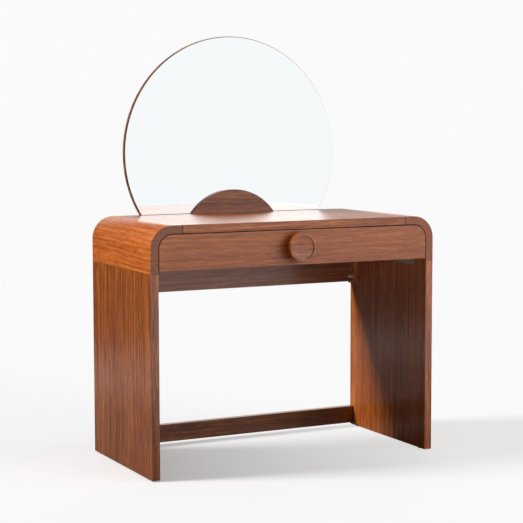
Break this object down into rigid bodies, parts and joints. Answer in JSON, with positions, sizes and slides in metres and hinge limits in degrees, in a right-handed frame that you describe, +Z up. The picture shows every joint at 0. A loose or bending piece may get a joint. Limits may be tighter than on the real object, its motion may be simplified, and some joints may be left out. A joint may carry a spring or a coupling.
{
  "type": "vanity table with mirror",
  "caption": "Walnut vanity table with rounded upper corners, a full-width drawer with a round knob, a foot stretcher and a round mirror cut flat on the top.",
  "frame": {"origin": "on the floor, at the centre of the bounding box's bottom: midway between the legs, and midway between the knob's face and the screws behind the mirror", "axes": "+X to the right as seen by someone sitting at the table, +Y to the back, +Z up; the drawer opens towards -Y"},
  "size_m": [0.98, 0.523, 1.3429],
  "materials": {
    "walnut": "satin walnut veneer",
    "dark_walnut": "satin dark walnut veneer",
    "pale_wood": "sealed birch",
    "mirror": "silvered glass with a polished edge",
    "zinc_steel": "zinc plated",
    "bright_steel": "polished",
    "black_steel": "satin black powder coat",
    "black_plastic": "matt"
  },
  "bodies": {
    "case": {"left_leg": "walnut", "right_leg": "walnut", "left_corner": "walnut", "right_corner": "walnut", "top_panel": "walnut", "back_rail": "dark_walnut", "foot_stretcher": "dark_walnut", "left_cleat": "dark_walnut", "right_cleat": "dark_walnut", "case_dowels": "pale_wood", "cleat_screws": "black_steel", "rail_brackets": "zinc_steel", "rail_bracket_screws": "zinc_steel", "stretcher_cams": "zinc_steel", "stretcher_cam_bolts": "zinc_steel", "floor_glides": "black_plastic", "mirror_backer": "walnut", "mirror_glass": "mirror", "mirror_foot": "walnut", "mirror_dowels": "pale_wood", "left_strap": "black_steel", "right_strap": "black_steel", "strap_screws": "zinc_steel", "left_slide_case_member": "zinc_steel", "right_slide_case_member": "zinc_steel", "case_slide_screws": "bright_steel"},
    "drawer": {"drawer_front": "walnut", "drawer_left_side": "pale_wood", "drawer_right_side": "pale_wood", "drawer_back": "pale_wood", "drawer_bottom": "pale_wood", "drawer_cams": "zinc_steel", "drawer_cam_bolts": "zinc_steel", "drawer_back_screws": "zinc_steel", "drawer_bottom_screws": "zinc_steel", "knob": "walnut", "knob_screw": "zinc_steel", "left_slide_drawer_member": "zinc_steel", "right_slide_drawer_member": "zinc_steel", "drawer_slide_screws": "bright_steel"},
    "left_middle_member": {"left_slide_middle_member": "zinc_steel"},
    "left_outer_cage": {"left_slide_outer_cage": "bright_steel"},
    "left_inner_cage": {"left_slide_inner_cage": "bright_steel"},
    "right_middle_member": {"right_slide_middle_member": "zinc_steel"},
    "right_outer_cage": {"right_slide_outer_cage": "bright_steel"},
    "right_inner_cage": {"right_slide_inner_cage": "bright_steel"}
  },
  "joints": [
    {"name": "drawer_slide", "type": "slide", "parent": "case", "child": "drawer", "axis": [0, -1, 0], "range_m": [0, 0.3]},
    {"name": "left_middle_member_slide", "type": "slide", "parent": "case", "child": "left_middle_member", "axis": [0, -1, 0], "range_m": [0, 0.15]},
    {"name": "left_outer_cage_slide", "type": "slide", "parent": "case", "child": "left_outer_cage", "axis": [0, -1, 0], "range_m": [0, 0.075]},
    {"name": "left_inner_cage_slide", "type": "slide", "parent": "case", "child": "left_inner_cage", "axis": [0, -1, 0], "range_m": [0, 0.225]},
    {"name": "right_middle_member_slide", "type": "slide", "parent": "case", "child": "right_middle_member", "axis": [0, -1, 0], "range_m": [0, 0.15]},
    {"name": "right_outer_cage_slide", "type": "slide", "parent": "case", "child": "right_outer_cage", "axis": [0, -1, 0], "range_m": [0, 0.075]},
    {"name": "right_inner_cage_slide", "type": "slide", "parent": "case", "child": "right_inner_cage", "axis": [0, -1, 0], "range_m": [0, 0.225]}
  ],
  "couplings": [
    {"joint": "left_middle_member_slide", "follows": "drawer_slide", "ratio": 0.5},
    {"joint": "left_outer_cage_slide", "follows": "drawer_slide", "ratio": 0.25},
    {"joint": "left_inner_cage_slide", "follows": "drawer_slide", "ratio": 0.75},
    {"joint": "right_middle_member_slide", "follows": "drawer_slide", "ratio": 0.5},
    {"joint": "right_outer_cage_slide", "follows": "drawer_slide", "ratio": 0.25},
    {"joint": "right_inner_cage_slide", "follows": "drawer_slide", "ratio": 0.75}
  ]
}
